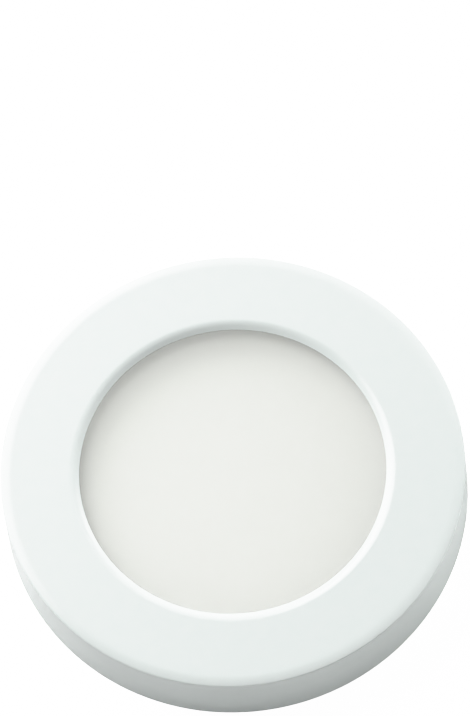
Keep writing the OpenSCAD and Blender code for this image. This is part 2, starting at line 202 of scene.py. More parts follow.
# %% Glossy white plastic
gloss_white, shader = new_material("gloss_white", (0.832, 0.885, 0.866), roughness=0.24)
shader.inputs["IOR"].default_value = 1.49
ripple = place_noise(gloss_white, grain_mm=2.2)
add_bump(gloss_white, shader, ripple, height_mm=0.0016)
vary_colour(gloss_white, shader, ripple, dark=(0.826, 0.881, 0.862), light=(0.838, 0.889, 0.87))
dress(gloss_white, "housing")

# %% [markdown]
# The diffuser is frosted acrylic. Light goes through it, scatters, reaches the white film behind the clear
# guide and comes back. That depth gives the soft shade along the edge nearest the lamp.
# Real glass would need many light bounces, and turns dark and noisy in a small render. Here each face of the
# disc stops a share of the light, and the rest simply passes on. A slanting look meets more of the face, so
# more is stopped there. The far face, seen from inside, has a share of its own: it catches the lip's shadow
# a little deeper, as the body of real opal does.

# %% Frosted and clear acrylic
def see_through(material, shader, facing, grazing, far_face):
    weight = add_node(material, "ShaderNodeLayerWeight", Blend=0.35)
    near_face = add_node(material, "ShaderNodeMapRange")
    near_face.inputs["To Min"].default_value = facing
    near_face.inputs["To Max"].default_value = grazing
    link(material, weight.outputs["Facing"], near_face.inputs["Value"])
    geometry = add_node(material, "ShaderNodeNewGeometry")
    stopped = add_node(material, "ShaderNodeMix")
    link(material, geometry.outputs["Backfacing"], stopped.inputs["Factor"])
    link(material, near_face.outputs["Result"], stopped.inputs["A"])
    stopped.inputs["B"].default_value = far_face
    link(material, stopped.outputs["Result"], shader.inputs["Alpha"])


opal, shader = grained("opal", (0.925, 0.94, 0.9), roughness=0.45, grain_mm=0.12, height_mm=0.0006)
see_through(opal, shader, facing=0.12, grazing=0.8, far_face=0.5)
dress(opal, "diffuser")

clear_acrylic, shader = new_material("clear_acrylic", (0.985, 0.99, 0.99), roughness=0.02)
polish = place_noise(clear_acrylic, grain_mm=1.5)
vary_roughness(clear_acrylic, shader, polish, smooth=0.015, rough=0.04)
see_through(clear_acrylic, shader, facing=0.01, grazing=0.15, far_face=0)
dress(clear_acrylic, "light_guide")

# %% [markdown]
# The film behind the guide is the whitest thing in the light. On the real one, light goes back and forth
# between film and diffuser many times. A faint glow of the film stands for those bounces.

# %% White reflector film
film_white, shader = grained("film_white", (0.95, 0.955, 0.94), 0.5, grain_mm=0.6, height_mm=0.002)
shader.inputs["Emission Color"].default_value = (1, 1, 0.985, 1)
shader.inputs["Emission Strength"].default_value = 0.39
dress(film_white, "reflector_film")

# %% [markdown]
# The foam pad is full of tiny closed bubbles. Voronoi cells are the usual way to draw bubbles: each point
# knows how far the nearest centre is, and that distance makes both the dimple and a painted shade that
# darkens its bottom.
# The thermal pad is soft silicone over a glass net. The same cells, laid out without chance and measured
# square, make the net.

# %% Foam and the thermal pad
def add_cells(material, shader, size_mm, height_mm, dark, light, **options):
    coordinates = add_node(material, "ShaderNodeTexCoord")
    cells = add_node(material, "ShaderNodeTexVoronoi", Scale=1 / (size_mm * MM), **options)
    link(material, coordinates.outputs["Object"], cells.inputs["Vector"])
    add_bump(material, shader, cells.outputs["Distance"], height_mm)
    vary_colour(material, shader, cells.outputs["Distance"], dark, light)


grey_foam, shader = new_material("grey_foam", (0.6, 0.61, 0.62), 0.9)
# Painted shade: each dimple of the foam is darker towards its bottom.
add_cells(grey_foam, shader, size_mm=0.3, height_mm=0.05, dark=(0.48, 0.49, 0.5), light=(0.66, 0.67, 0.68))
dress(grey_foam, "foam_pad")

pad_blue, shader = new_material("pad_blue", (0.5, 0.6, 0.7), 0.7)
add_cells(pad_blue, shader, size_mm=0.5, height_mm=0.03, dark=(0.52, 0.62, 0.72), light=(0.44, 0.55, 0.66),
          distance="CHEBYCHEV", Randomness=0)
dress(pad_blue, "thermal_pad")

# %% [markdown]
# The tray is pressed from rolled sheet. Rolling leaves fine lines in one direction, so the noise is
# stretched along them. The screws are zinc plated, and zinc drifts between bluish and yellowish.

# %% Rolled aluminium and zinc
sheet_aluminium, shader = grained("sheet_aluminium", (0.8, 0.81, 0.82), 0.36, grain_mm=0.25,
                                  height_mm=0.003, metallic=1.0, stretch=(0.06, 1, 1))
dress(sheet_aluminium, "heat_tray")

zinc, shader = new_material("screw_zinc", (0.72, 0.73, 0.76), 0.3, metallic=1.0)
passivation = place_noise(zinc, grain_mm=0.8)
vary_colour(zinc, shader, passivation, dark=(0.66, 0.7, 0.77), light=(0.8, 0.78, 0.72))
vary_roughness(zinc, shader, passivation, smooth=0.24, rough=0.36)
dress(zinc, "tray_screws", "cover_screws")

# %% [markdown]
# The back cover is moulded in the same white, but its mould was spark eroded, which leaves a fine satin
# texture that hides scratches. The grommet is soft black rubber.

# %% Satin cover and rubber grommet
satin_white, shader = grained("satin_white", (0.82, 0.86, 0.85), 0.5, grain_mm=0.18, height_mm=0.008)
dress(satin_white, "back_cover")

rubber, shader = grained("grommet_rubber", (0.028, 0.028, 0.03), 0.62, grain_mm=0.25, height_mm=0.012)
dress(rubber, "cable_grommet")

# %% [markdown]
# The strip carries white solder mask, the tape is thin amber film, and the LED packages are glossy white
# nylon. The leads are PVC. It comes out of a round die, which draws faint lines along it.

# %% Strip, tape, LED packages and leads
strip_white, shader = grained("strip_white", (0.88, 0.88, 0.84), 0.4, grain_mm=0.4, height_mm=0.004)
dress(strip_white, "led_strip")

tape_amber, shader = grained("tape_amber", (0.62, 0.42, 0.16), 0.35, grain_mm=0.5, height_mm=0.004)
dress(tape_amber, "strip_tape")

package_white, shader = grained("package_white", (0.9, 0.9, 0.86), 0.22, grain_mm=0.3, height_mm=0.002)
dress(package_white, "leds")

for name, colour in {"red": (0.56, 0.03, 0.025), "black": (0.02, 0.02, 0.022)}.items():
    insulation, shader = grained(f"{name}_insulation", colour, 0.38, grain_mm=0.12, height_mm=0.004)
    dress(insulation, f"{name}_lead")

# %% [markdown]
# The board is glass fibre under green solder mask, whose thickness drifts a little. Chips are black epoxy,
# the inductor is a sintered ferrite, capacitors are brown fired ceramic and resistors have a dark glaze.

# %% The board and its parts
board_green, shader = grained("board_green", (0.02, 0.16, 0.06), 0.3, grain_mm=1.2, height_mm=0.006)
dress(board_green, "driver_board")

epoxy, shader = grained("black_epoxy", (0.022, 0.022, 0.024), 0.55, grain_mm=0.09, height_mm=0.006)
dress(epoxy, "bridge_rectifier", "driver_chip", "diode")

ferrite, shader = grained("ferrite", (0.06, 0.06, 0.065), 0.6, grain_mm=0.2, height_mm=0.014)
dress(ferrite, "inductor")

fired_clay, shader = grained("capacitor_ceramic", (0.36, 0.22, 0.1), 0.42, grain_mm=0.2, height_mm=0.005)
dress(fired_clay, "capacitors")

glaze, shader = grained("resistor_glaze", (0.025, 0.027, 0.035), 0.25, grain_mm=0.3, height_mm=0.004)
dress(glaze, "resistors")

nylon, shader = grained("terminal_nylon", (0.82, 0.82, 0.78), 0.42, grain_mm=0.3, height_mm=0.006)
dress(nylon, "terminal_block")

# %% [markdown]
# The fine things come next. Each is small and often repeated, so it is drawn once, as a template that stands
# on z = 0, and then copied to every place. A place is a matrix, which holds a position and a turn.

# %% Helpers: joining copies into one piece
SHARP_ANGLE = math.radians(35)


def add_copy(shape, template, place):
    shape.from_mesh(template)
    shape.verts.ensure_lookup_table()
    bmesh.ops.transform(shape, matrix=place, verts=shape.verts[-len(template.vertices):])


def join_copies(template, places):
    shape = bmesh.new()
    for place in places:
        add_copy(shape, template, place)
    return shape


def add_piece(name, shape, material):
    bmesh.ops.recalc_face_normals(shape, faces=shape.faces)
    mesh = bpy.data.meshes.new(name)
    shape.to_mesh(mesh)
    shape.free()
    mesh.shade_smooth()
    mesh.set_sharp_from_angle(angle=SHARP_ANGLE)
    mesh.materials.append(material)
    piece = bpy.data.objects.new(name, mesh)
    bpy.context.scene.collection.objects.link(piece)
    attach(piece, "root")
    print(name, "has", len(mesh.polygons), "faces")
    return piece


# %% [markdown]
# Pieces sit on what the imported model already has. This helper splits a part of the model into its separate
# solids. It walks from corner to corner along the edges, on a copy, and leaves the part itself alone.
# A second one says where a solid lies on the board: its middle, its long direction and its size.

# %% Helpers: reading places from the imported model
def loose_solids(name):
    shape = bmesh.new()
    shape.from_mesh(nodes[name].data)
    bmesh.ops.remove_doubles(shape, verts=shape.verts, dist=0.001 * MM)
    waiting, solids = set(shape.verts), []
    while waiting:
        corners, front = [], [waiting.pop()]
        while front:
            corner = front.pop()
            corners.append(corner.co.copy())
            for edge in corner.link_edges:
                other = edge.other_vert(corner)
                if other in waiting:
                    waiting.discard(other)
                    front.append(other)
        solids.append(corners)
    shape.free()
    return solids


def lie_of(corners):
    middle = sum(corners, Vector()) / len(corners)
    away = [corner - middle for corner in corners]
    spread_x, spread_y = sum(a.x ** 2 for a in away), sum(a.y ** 2 for a in away)
    bearing = math.atan2(2 * sum(a.x * a.y for a in away), spread_x - spread_y) / 2
    along = Vector((math.cos(bearing), math.sin(bearing), 0))
    across = Vector((-along.y, along.x, 0))
    length = 2 * max(a.dot(along) for a in away)
    width = 2 * max(a.dot(across) for a in away)
    height = max(corner.z for corner in corners) - min(corner.z for corner in corners)
    return middle, bearing, length, width, height


chips = [lie_of(corners) for name in ("capacitors", "resistors") for corners in loose_solids(name)]
print("chip parts found on the board:", len(chips))

# %% [markdown]
# Three templates cover nearly all small pieces. A block with rounded edges stands for plating and plastic.
# A dome stands for a drop of solder, which has a steep foot and a flat top. A bent leg is drawn from the side
# and given a width.

# %% Templates: block, drop of solder, bent leg
def block_template(length, width, height, rounding):
    shape = bmesh.new()
    bmesh.ops.create_cube(shape, size=1)
    bmesh.ops.scale(shape, vec=(length, width, height), verts=shape.verts)
    bmesh.ops.translate(shape, vec=(0, 0, height / 2), verts=shape.verts)
    bmesh.ops.bevel(shape, geom=shape.edges[:], offset=rounding, segments=2, profile=0.5, affect="EDGES")
    return finished_template(shape)


def drop_template(length, width, height, sides=16, rings=4):
    shape = bmesh.new()
    loops = []
    for ring in range(rings):
        lean = ring / rings * math.pi / 2
        reach, rise = math.cos(lean) / 2, math.sin(lean) * height
        loops.append([
            shape.verts.new((reach * length * math.cos(turn), reach * width * math.sin(turn), rise))
            for turn in (2 * math.pi * side / sides for side in range(sides))
        ])
    peak = shape.verts.new((0, 0, height))
    for below, above in zip(loops, loops[1:]):
        for side in range(sides):
            after = (side + 1) % sides
            shape.faces.new((below[side], below[after], above[after], above[side]))
    for side in range(sides):
        shape.faces.new((loops[-1][side], loops[-1][(side + 1) % sides], peak))
    shape.faces.new(reversed(loops[0]))
    return finished_template(shape)


def prism_template(outline, width):
    shape = bmesh.new()
    near = [shape.verts.new((x, -width / 2, z)) for x, z in outline]
    far = [shape.verts.new((x, width / 2, z)) for x, z in outline]
    shape.faces.new(near)
    shape.faces.new(reversed(far))
    for i in range(len(outline)):
        after = (i + 1) % len(outline)
        shape.faces.new((near[i], far[i], far[after], near[after]))
    return finished_template(shape)


def finished_template(shape):
    mesh = bpy.data.meshes.new("template")
    shape.to_mesh(mesh)
    shape.free()
    return mesh


# %% [markdown]
# Solder is a soft, bright metal. The tinned legs and the plated ends of chip parts share its finish.
# The phosphor over an LED chip is a yellow powder in clear resin, so it is grainy and slightly glossy.

# %% Finishes of the fine pieces
solder, shader = grained("solder", (0.74, 0.75, 0.77), 0.24, grain_mm=0.3, height_mm=0.01, metallic=1.0)
phosphor, shader = grained("phosphor", (0.9, 0.66, 0.1), 0.3, grain_mm=0.05, height_mm=0.006)
board_print, shader = grained("board_print", (0.85, 0.85, 0.83), 0.6, grain_mm=0.1, height_mm=0.003)
masked_copper, shader = grained("masked_copper", (0.05, 0.27, 0.1), 0.3, grain_mm=0.8, height_mm=0.004)
button_orange, shader = grained("button_orange", (0.75, 0.2, 0.03), 0.4, grain_mm=0.3, height_mm=0.004)

# %% [markdown]
# Each LED is a white cup with a shallow window that faces the guide. The phosphor fills the window and sinks
# a little in the middle, as resin does when it cures. Its place is read from the solid of each LED: the
# points nearest the axis are the front, and the next ones inward are the floor of the window.

# %% Phosphor in the windows of the LEDs
LEVEL = 0.02 * MM
FILL = 0.8
SUNK = 0.25


def window_of(corners):
    middle = sum(corners, Vector()) / len(corners)
    outward = Vector((middle.x, middle.y, 0)).normalized()
    sideways = Vector((outward.y, -outward.x, 0))
    distances = sorted(corner.dot(outward) for corner in corners)
    front = distances[0]
    floor = next(distance for distance in distances if distance > front + LEVEL)
    rim = [corner for corner in corners if abs(corner.dot(outward) - floor) < LEVEL]
    width = 2 * max(corner.dot(sideways) for corner in rim)
    height = max(corner.z for corner in rim) - min(corner.z for corner in rim)
    place = Matrix((sideways, Vector((0, 0, 1)), -outward)).transposed().to_4x4()
    place.translation = outward * floor + Vector((0, 0, middle.z))
    return place, width, height, floor - front


windows = [window_of(corners) for corners in loose_solids("leds")]
window_w, window_h, window_depth = windows[0][1:]
print(f"{len(windows)} windows of {window_w / MM:.2f} by {window_h / MM:.2f} mm")


def window_fill_template(width, height, depth, sides=32, rings=4):
    shape = bmesh.new()
    loops = []
    for share in [ring / rings for ring in range(rings, 0, -1)]:
        level = depth * FILL * (1 - SUNK * (1 - share ** 2))
        loop = []
        for side in range(sides):
            turn = 2 * math.pi * side / sides
            across, upward = math.cos(turn), math.sin(turn)
            square = max(abs(across), abs(upward))
            loop.append(shape.verts.new((across / square * share * width / 2,
                                         upward / square * share * height / 2, level)))
        loops.append(loop)
    foot = [shape.verts.new((corner.co.x, corner.co.y, 0)) for corner in loops[0]]
    for below, above in zip([foot] + loops, loops):
        for side in range(sides):
            after = (side + 1) % sides
            shape.faces.new((below[side], below[after], above[after], above[side]))
    shape.faces.new(loops[-1])
    shape.faces.new(reversed(foot))
    return finished_template(shape)


fill = window_fill_template(window_w, window_h, window_depth)
add_piece("phosphor_windows", join_copies(fill, [window[0] for window in windows]), phosphor)

# %% [markdown]
# Each LED is soldered to the strip at both ends. The joints stand on the inner face of the strip, beside
# the package. The two leads end there too, in larger joints that cover the bare wire.

# %% Solder on the strip
JOINT = (0.5 * MM, 0.9 * MM, 0.3 * MM)
LEAD_JOINT = (1.1 * MM, 1.3 * MM, 0.72 * MM)
led_low, led_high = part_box("leds")
led_z = (led_low[2] + led_high[2]) / 2
led_corners = loose_solids("leds")[0]
strip_inner = max(math.hypot(corner.x, corner.y) for corner in led_corners)
led_length = lie_of(led_corners)[2]
print(f"an LED is {led_length / MM:.2f} mm long; the strip's inner radius is {strip_inner / MM:.2f} mm")


def on_strip(turn, height):
    outward = Vector((math.cos(turn), math.sin(turn), 0))
    sideways = Vector((outward.y, -outward.x, 0))
    place = Matrix((sideways, Vector((0, 0, 1)), -outward)).transposed().to_4x4()
    place.translation = outward * strip_inner + Vector((0, 0, height))
    return place


half_turn = (led_length + JOINT[0] / 2) / 2 / strip_inner
ends = []
for place, *_ in windows:
    turn = math.atan2(place.translation.y, place.translation.x)
    ends += [on_strip(turn - half_turn, led_z), on_strip(turn + half_turn, led_z)]
add_piece("strip_solder", join_copies(drop_template(*JOINT), ends), solder)

lead_ends = []
for name in ("red_lead", "black_lead"):
    low_corner, high_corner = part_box(name)
    middle_y = (low_corner[1] + high_corner[1]) / 2
    lead_ends.append(on_strip(math.asin(middle_y / strip_inner), high_corner[2]))
add_piece("strip_lead_joints", join_copies(drop_template(*LEAD_JOINT), lead_ends), solder)

# %% [markdown]
# The parts hang under the board, so a place on the board turns its template upside down.
# Chip parts have plated ends. The plating is thin metal over the ceramic, with softly rounded edges, and a
# fillet of solder climbs up each end from the board.

# %% Plated ends and their solder
board_low, board_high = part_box("driver_board")
board_z = board_low[2]
board_radius = board_high[0]
CAP_SHARE = 1 / 6
PLATING = 0.03 * MM
PLATING_ROUNDING = 0.05 * MM
FILLET_LENGTH = 1.6
FILLET_HEIGHT = 0.7
UPSIDE_DOWN = Matrix.Rotation(math.pi, 4, "X")


def on_board(x, y, turn=0.0, below=0.0):
    return Matrix.Translation((x, y, board_z - below)) @ Matrix.Rotation(turn, 4, "Z") @ UPSIDE_DOWN


plated_ends, chip_solder = bmesh.new(), bmesh.new()
for chip_at, bearing, length, width, height in chips:
    cap_length = length * CAP_SHARE
    cap = block_template(cap_length + 2 * PLATING, width + 2 * PLATING, height + PLATING, PLATING_ROUNDING)
    fillet = drop_template(FILLET_LENGTH * cap_length, width, FILLET_HEIGHT * height)
    along = Vector((math.cos(bearing), math.sin(bearing), 0))
    for side in (-1, 1):
        cap_at = chip_at + side * (length - cap_length) / 2 * along
        add_copy(plated_ends, cap, on_board(cap_at.x, cap_at.y, bearing))
        foot_at = chip_at + side * (length / 2 + PLATING) * along
        add_copy(chip_solder, fillet, on_board(foot_at.x, foot_at.y, bearing))
add_piece("plated_ends", plated_ends, solder)
add_piece("chip_solder", chip_solder, solder)

# %% [markdown]
# A leg comes out of its package at half height, bends down and ends in a flat foot on the board. Drawn from
# the side it is one outline, so a prism is enough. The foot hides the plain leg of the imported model.

# %% Tinned legs of the packages
LEG_THICKNESS = 0.25 * MM
LEG_SUNK = 0.06 * MM
KNEE = 0.4 * MM
SHOULDER = 0.25 * MM
LEG_RISE = 0.45
FOOT_SOLDER = 0.5 * MM
FOOT_SOLDER_HEIGHT = 0.2 * MM
MIDDLE_ONLY = (0,)
legs, leg_solder = bmesh.new(), bmesh.new()


def add_legs(package, side, spots_mm, leg_width_mm, reach_mm):
    low_corner, high_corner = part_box(package)
    reach, leg_width = reach_mm * MM, leg_width_mm * MM
    half_body = (high_corner[0] - low_corner[0]) / 2 - reach
    middle_x = (low_corner[0] + high_corner[0]) / 2
    middle_y = (low_corner[1] + high_corner[1]) / 2
    rise = LEG_RISE * (high_corner[2] - low_corner[2])
    foot = LEG_THICKNESS + PLATING
    leg = prism_template([(-LEG_SUNK, 0), (reach + PLATING, 0), (reach + PLATING, foot), (KNEE, foot),
                          (SHOULDER, rise), (-LEG_SUNK, rise)], leg_width + 2 * PLATING)
    drop = drop_template(FOOT_SOLDER, leg_width + 4 * PLATING, FOOT_SOLDER_HEIGHT)
    turn = 0 if side > 0 else math.pi
    for spot in spots_mm:
        y = middle_y + spot * MM
        add_copy(legs, leg, on_board(middle_x + side * half_body, y, turn))
        add_copy(leg_solder, drop, on_board(middle_x + side * (half_body + reach), y, turn))


for side in (-1, 1):
    add_legs("bridge_rectifier", side, spots_mm=(-1.3, 1.3), leg_width_mm=0.8, reach_mm=1)
    add_legs("diode", side, spots_mm=MIDDLE_ONLY, leg_width_mm=1.4, reach_mm=0.6)
add_legs("driver_chip", 1, spots_mm=(-0.95, 0, 0.95), leg_width_mm=0.4, reach_mm=0.6)
add_legs("driver_chip", -1, spots_mm=(-0.95, 0.95), leg_width_mm=0.4, reach_mm=0.6)
add_piece("package_legs", legs, solder)
add_piece("leg_solder", leg_solder, solder)

# %% [markdown]
# The ends of the leads are stripped. Seven thin tinned strands come out of the insulation, six round one,
# and a drop of solder holds them on the board. The inductor stands on two tinned straps.

# %% Wire strands, their solder, and the inductor's straps
STRAND_RADIUS = 0.075 * MM
STRAND_LENGTH = 1.2 * MM
STRAND_SIDES = 8
LEAD_DROP = (1.7 * MM, 1.2 * MM, 0.66 * MM)
LEAD_DROP_SET_BACK = 0.8 * MM
STRAP = (0.5 * MM, 3 * MM, 0.35 * MM)
STRAP_ROUNDING = 0.08 * MM

strand_shape = bmesh.new()
bmesh.ops.create_cone(strand_shape, cap_ends=True, segments=STRAND_SIDES, radius1=STRAND_RADIUS,
                      radius2=STRAND_RADIUS, depth=STRAND_LENGTH)
bmesh.ops.rotate(strand_shape, matrix=Matrix.Rotation(math.pi / 2, 3, "Y"), verts=strand_shape.verts)
strand = finished_template(strand_shape)
strands, lead_drops = [], []
for name in ("red_lead", "black_lead"):
    low_corner, high_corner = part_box(name)
    lead_y = (low_corner[1] + high_corner[1]) / 2
    lead_z = (low_corner[2] + board_z) / 2
    x = low_corner[0] - STRAND_LENGTH / 2 + STRAND_RADIUS
    strands.append(Matrix.Translation((x, lead_y, lead_z)))
    for i in range(6):
        turn = i * math.pi / 3
        shift = Vector((0, math.cos(turn), math.sin(turn))) * 2 * STRAND_RADIUS
        strands.append(Matrix.Translation(Vector((x, lead_y, lead_z)) + shift))
    lead_drops.append(on_board(low_corner[0] - LEAD_DROP_SET_BACK, lead_y))
add_piece("wire_strands", join_copies(strand, strands), solder)
add_piece("lead_solder", join_copies(drop_template(*LEAD_DROP), lead_drops), solder)

coil_low, coil_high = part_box("inductor")
coil_y = (coil_low[1] + coil_high[1]) / 2
straps = [on_board(x, coil_y) for x in (coil_low[0], coil_high[0])]
add_piece("inductor_straps", join_copies(block_template(*STRAP, STRAP_ROUNDING), straps), solder)

# %% [markdown]
# Copper tracks run under the solder mask, where they show as lighter, slightly raised bands. A band is a
# thin slab between two lines of points. A track is the band along a path that goes straight first and then
# at 45 degrees, which is how boards are usually drawn. One more band runs round the edge, with gaps.

# %% Copper under the solder mask
TRACK_WIDTH = 1.1 * MM
COPPER = 0.035 * MM
EDGE_BAND = (0.9, 0.95)
EDGE_ARCS = [(12, 78), (102, 258), (282, 348)]
ARC_STEP = 4


def add_band(shape, left, right, top, thickness, closed=False):
    lines = [[shape.verts.new((point[0], point[1], z)) for point in line]
             for z in (top, top - thickness) for line in (left, right)]
    upper_left, upper_right, lower_left, lower_right = lines
    count = len(left)
    for i in range(count if closed else count - 1):
        after = (i + 1) % count
        for one, two in ((upper_left, upper_right), (upper_right, lower_right),
                         (lower_right, lower_left), (lower_left, upper_left)):
            shape.faces.new((one[i], one[after], two[after], two[i]))
    if not closed:
        for i in (0, -1):
            shape.faces.new((upper_left[i], upper_right[i], lower_right[i], lower_left[i]))


def sides_of(path, width):
    left, right = [], []
    for i, point in enumerate(path):
        coming = (point - path[i - 1]).normalized() if i else (path[1] - point).normalized()
        going = (path[i + 1] - point).normalized() if i < len(path) - 1 else coming
        ahead = (coming + going).normalized()
        reach = width / 2 / ahead.dot(coming)
        across = Vector((-ahead.y, ahead.x)) * reach
        left.append(point + across)
        right.append(point - across)
    return left, right


def route(start, end):
    shift = end - start
    short = min(abs(shift.x), abs(shift.y))
    slant = Vector((math.copysign(short, shift.x), math.copysign(short, shift.y)))
    return [start, end - slant, end]


def middle_of(name):
    low_corner, high_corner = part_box(name)
    return Vector(((low_corner[0] + high_corner[0]) / 2, (low_corner[1] + high_corner[1]) / 2))


def chip_towards(bearing):
    direction = Vector((math.cos(math.radians(bearing)), math.sin(math.radians(bearing)), 0))
    return max((chip[0] for chip in chips), key=lambda place: place.normalized().dot(direction)).to_2d()


terminal, bridge, coil = middle_of("terminal_block"), middle_of("bridge_rectifier"), middle_of("inductor")
chip, diode = middle_of("driver_chip"), middle_of("diode")
fuse, bleeder, sense, divider = (chip_towards(bearing) for bearing in (147, 205, 29, 225))
input_capacitor, output_capacitor = chip_towards(250), chip_towards(332)
red_end, black_end = (Vector((place.translation.x, place.translation.y)) for place in lead_drops)
tracks = [(terminal, fuse), (fuse, bridge), (bridge, coil), (coil, chip), (chip, sense), (sense, red_end),
          (chip, output_capacitor), (output_capacitor, black_end), (output_capacitor, diode),
          (diode, input_capacitor), (input_capacitor, divider), (divider, bleeder), (bleeder, terminal)]
copper = bmesh.new()
for start, end in tracks:
    add_band(copper, *sides_of(route(start, end), TRACK_WIDTH), board_z, COPPER)
for first, last in EDGE_ARCS:
    turns = [math.radians(degree) for degree in range(first, last + 1, ARC_STEP)]
    inner, outer = ([share * board_radius * Vector((math.cos(turn), math.sin(turn))) for turn in turns]
                    for share in EDGE_BAND)
    add_band(copper, inner, outer, board_z, COPPER)
add_piece("copper_tracks", copper, masked_copper)

# %% [markdown]
# White print frames each part, so that the person who loads the machine sees where it goes. The diode
# carries a band at its cathode and the chip a dot at its first leg. There are no letters.

# %% White print and polarity marks
PRINT_LINE = 0.15 * MM
PRINT_MARGIN = 0.35 * MM
PRINT = 0.05 * MM
MARK = 0.012 * MM
BAND_FROM = 1.1 * MM
BAND_TO = 1.6 * MM
DOT = 0.4 * MM
DOT_INSET = 0.45 * MM


def rectangle(middle_point, bearing, length, width):
    along = Vector((math.cos(bearing), math.sin(bearing))) * length / 2
    across = Vector((-math.sin(bearing), math.cos(bearing))) * width / 2
    return [middle_point + along + across, middle_point - along + across,
            middle_point - along - across, middle_point + along - across]


def add_frame(shape, middle_point, bearing, length, width):
    inner = rectangle(middle_point, bearing, length, width)
    outer = rectangle(middle_point, bearing, length + 2 * PRINT_LINE, width + 2 * PRINT_LINE)
    add_band(shape, inner, outer, board_z, PRINT, closed=True)


board_frames = bmesh.new()
for name in ("bridge_rectifier", "driver_chip", "diode", "inductor", "terminal_block"):
    low_corner, high_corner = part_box(name)
    length, width = high_corner[0] - low_corner[0], high_corner[1] - low_corner[1]
    add_frame(board_frames, middle_of(name), 0, length + 2 * PRINT_MARGIN, width + 2 * PRINT_MARGIN)
for chip_at, bearing, length, width, height in chips:
    add_frame(board_frames, chip_at.to_2d(), bearing, length + 4 * PRINT_MARGIN, width + 2 * PRINT_MARGIN)
add_piece("part_frames", board_frames, board_print)

marks = bmesh.new()
diode_low, diode_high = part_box("diode")
band_sides = [[Vector((diode.x + x, y)) for y in (diode_low[1], diode_high[1])] for x in (BAND_FROM, BAND_TO)]
add_band(marks, *band_sides, diode_low[2] + MARK / 2, MARK)
chip_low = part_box("driver_chip")[0]
dot_place = on_board(chip.x, chip_low[1] + DOT_INSET, below=board_z - chip_low[2])
add_copy(marks, drop_template(DOT, DOT, MARK), dot_place)
add_piece("polarity_marks", marks, board_print)

# %% [markdown]
# The terminal block has a small orange button over each wire entry. Pressed with a screwdriver, it lets the
# wire go. It stands in its square well with a little room all round.

# %% Release buttons
BUTTON = (1.08 * MM, 1.08 * MM, 0.42 * MM)
BUTTON_ROUNDING = 0.12 * MM
WELL_SHARE = 1 / 4
terminal_low, terminal_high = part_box("terminal_block")
terminal_size = [high - low for low, high in zip(terminal_low, terminal_high)]
well_floor = terminal_size[2] * (1 - WELL_SHARE)
buttons = [
    on_board(terminal.x - terminal_size[0] * WELL_SHARE, terminal.y + side * terminal_size[1] / 4,
             below=well_floor)
    for side in (-1, 1)
]
add_piece("release_buttons", join_copies(block_template(*BUTTON, BUTTON_ROUNDING), buttons), button_orange)

# %% [markdown]
# The screws are self-tapping: a coarse thread with thin ridges that cut their own way into the plastic. The
# ridge is one triangle in section, carried round and up in small steps. It fades in and out at its ends.

# %% Threads of the screws
PITCH = 0.7 * MM
RIDGE = 0.13 * MM
RIDGE_FOOT = 0.3 * MM
RIDGE_SUNK = 0.02 * MM
STEPS_PER_TURN = 24
TIP_LENGTH = 0.5 * MM
SCREW_RADIUS = 1 * MM


def add_thread(shape, centre, low_z, high_z):
    count = int((high_z - low_z) / PITCH * STEPS_PER_TURN)
    sections = []
    for i in range(count + 1):
        turn = 2 * math.pi * i / STEPS_PER_TURN
        fade = min(1, i / STEPS_PER_TURN, (count - i) / STEPS_PER_TURN)
        z = low_z + PITCH * i / STEPS_PER_TURN
        corners = ((SCREW_RADIUS - RIDGE_SUNK, z - RIDGE_FOOT / 2), (SCREW_RADIUS + RIDGE * fade, z),
                   (SCREW_RADIUS - RIDGE_SUNK, z + RIDGE_FOOT / 2))
        sections.append([
            shape.verts.new((centre.x + reach * math.cos(turn), centre.y + reach * math.sin(turn), rise))
            for reach, rise in corners
        ])
    for below, above in zip(sections, sections[1:]):
        for i in range(3):
            after = (i + 1) % 3
            shape.faces.new((below[i], below[after], above[after], above[i]))
    shape.faces.new(sections[0])
    shape.faces.new(reversed(sections[-1]))


cover_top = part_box("back_cover")[1][2]
ear_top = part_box("foam_pad")[0][2]
for name, start_z in {"cover_screws": cover_top, "tray_screws": ear_top}.items():
    threads = bmesh.new()
    for corners in loose_solids(name):
        centre = sum(corners, Vector()) / len(corners)
        top_z = max(corner.z for corner in corners)
        add_thread(threads, centre, start_z + RIDGE_FOOT, top_z - TIP_LENGTH)
    add_piece(name.replace("screws", "threads"), threads, zinc)

# %% [markdown]
# The table under the light is a sheet of white acrylic lit from below, so it photographs as pure white. To
# the eye of the camera it glows. To everything else it is a plain white sheet, so that the glow doesn't
# light the underside of the part more than the real table would.
# A window is cut in it, a little smaller than the light, so that the back can be looked at from below. The
# sheet lies a hair lower than the back, because two faces in one plane would flicker through each other.

# %% Lit white table
TABLE_RADIUS = 3
TABLE_WHITE = (0.8, 0.8, 0.8)
SEEN_GREY = (0.8, 0.8, 0.8)
TABLE_GLOW = 1.2
TABLE_GAP = 0.02 * MM
WINDOW_RADIUS = 0.99 * OUTER_RADIUS
WINDOW_SIDES = 128

table_shape = bmesh.new()
for radius in (WINDOW_RADIUS, TABLE_RADIUS):
    bmesh.ops.create_circle(table_shape, segments=WINDOW_SIDES, radius=radius)
bmesh.ops.bridge_loops(table_shape, edges=table_shape.edges)
bmesh.ops.recalc_face_normals(table_shape, faces=table_shape.faces)
bmesh.ops.translate(table_shape, vec=(0, 0, -TABLE_GAP), verts=table_shape.verts)
print(f"table {TABLE_RADIUS} m round a window of {WINDOW_RADIUS / MM:.2f} mm radius")
table = bpy.data.objects.new("table", finished_template(table_shape))
bpy.context.scene.collection.objects.link(table)
table_white, sheet = new_material("table_white", TABLE_WHITE, 0.6)
lit = add_node(table_white, "ShaderNodeBsdfPrincipled", Roughness=0.6)
lit.inputs["Base Color"].default_value = (*SEEN_GREY, 1)
lit.inputs["Emission Color"].default_value = (1, 1, 1, 1)
lit.inputs["Emission Strength"].default_value = TABLE_GLOW
ray = add_node(table_white, "ShaderNodeLightPath")
either = add_node(table_white, "ShaderNodeMixShader")
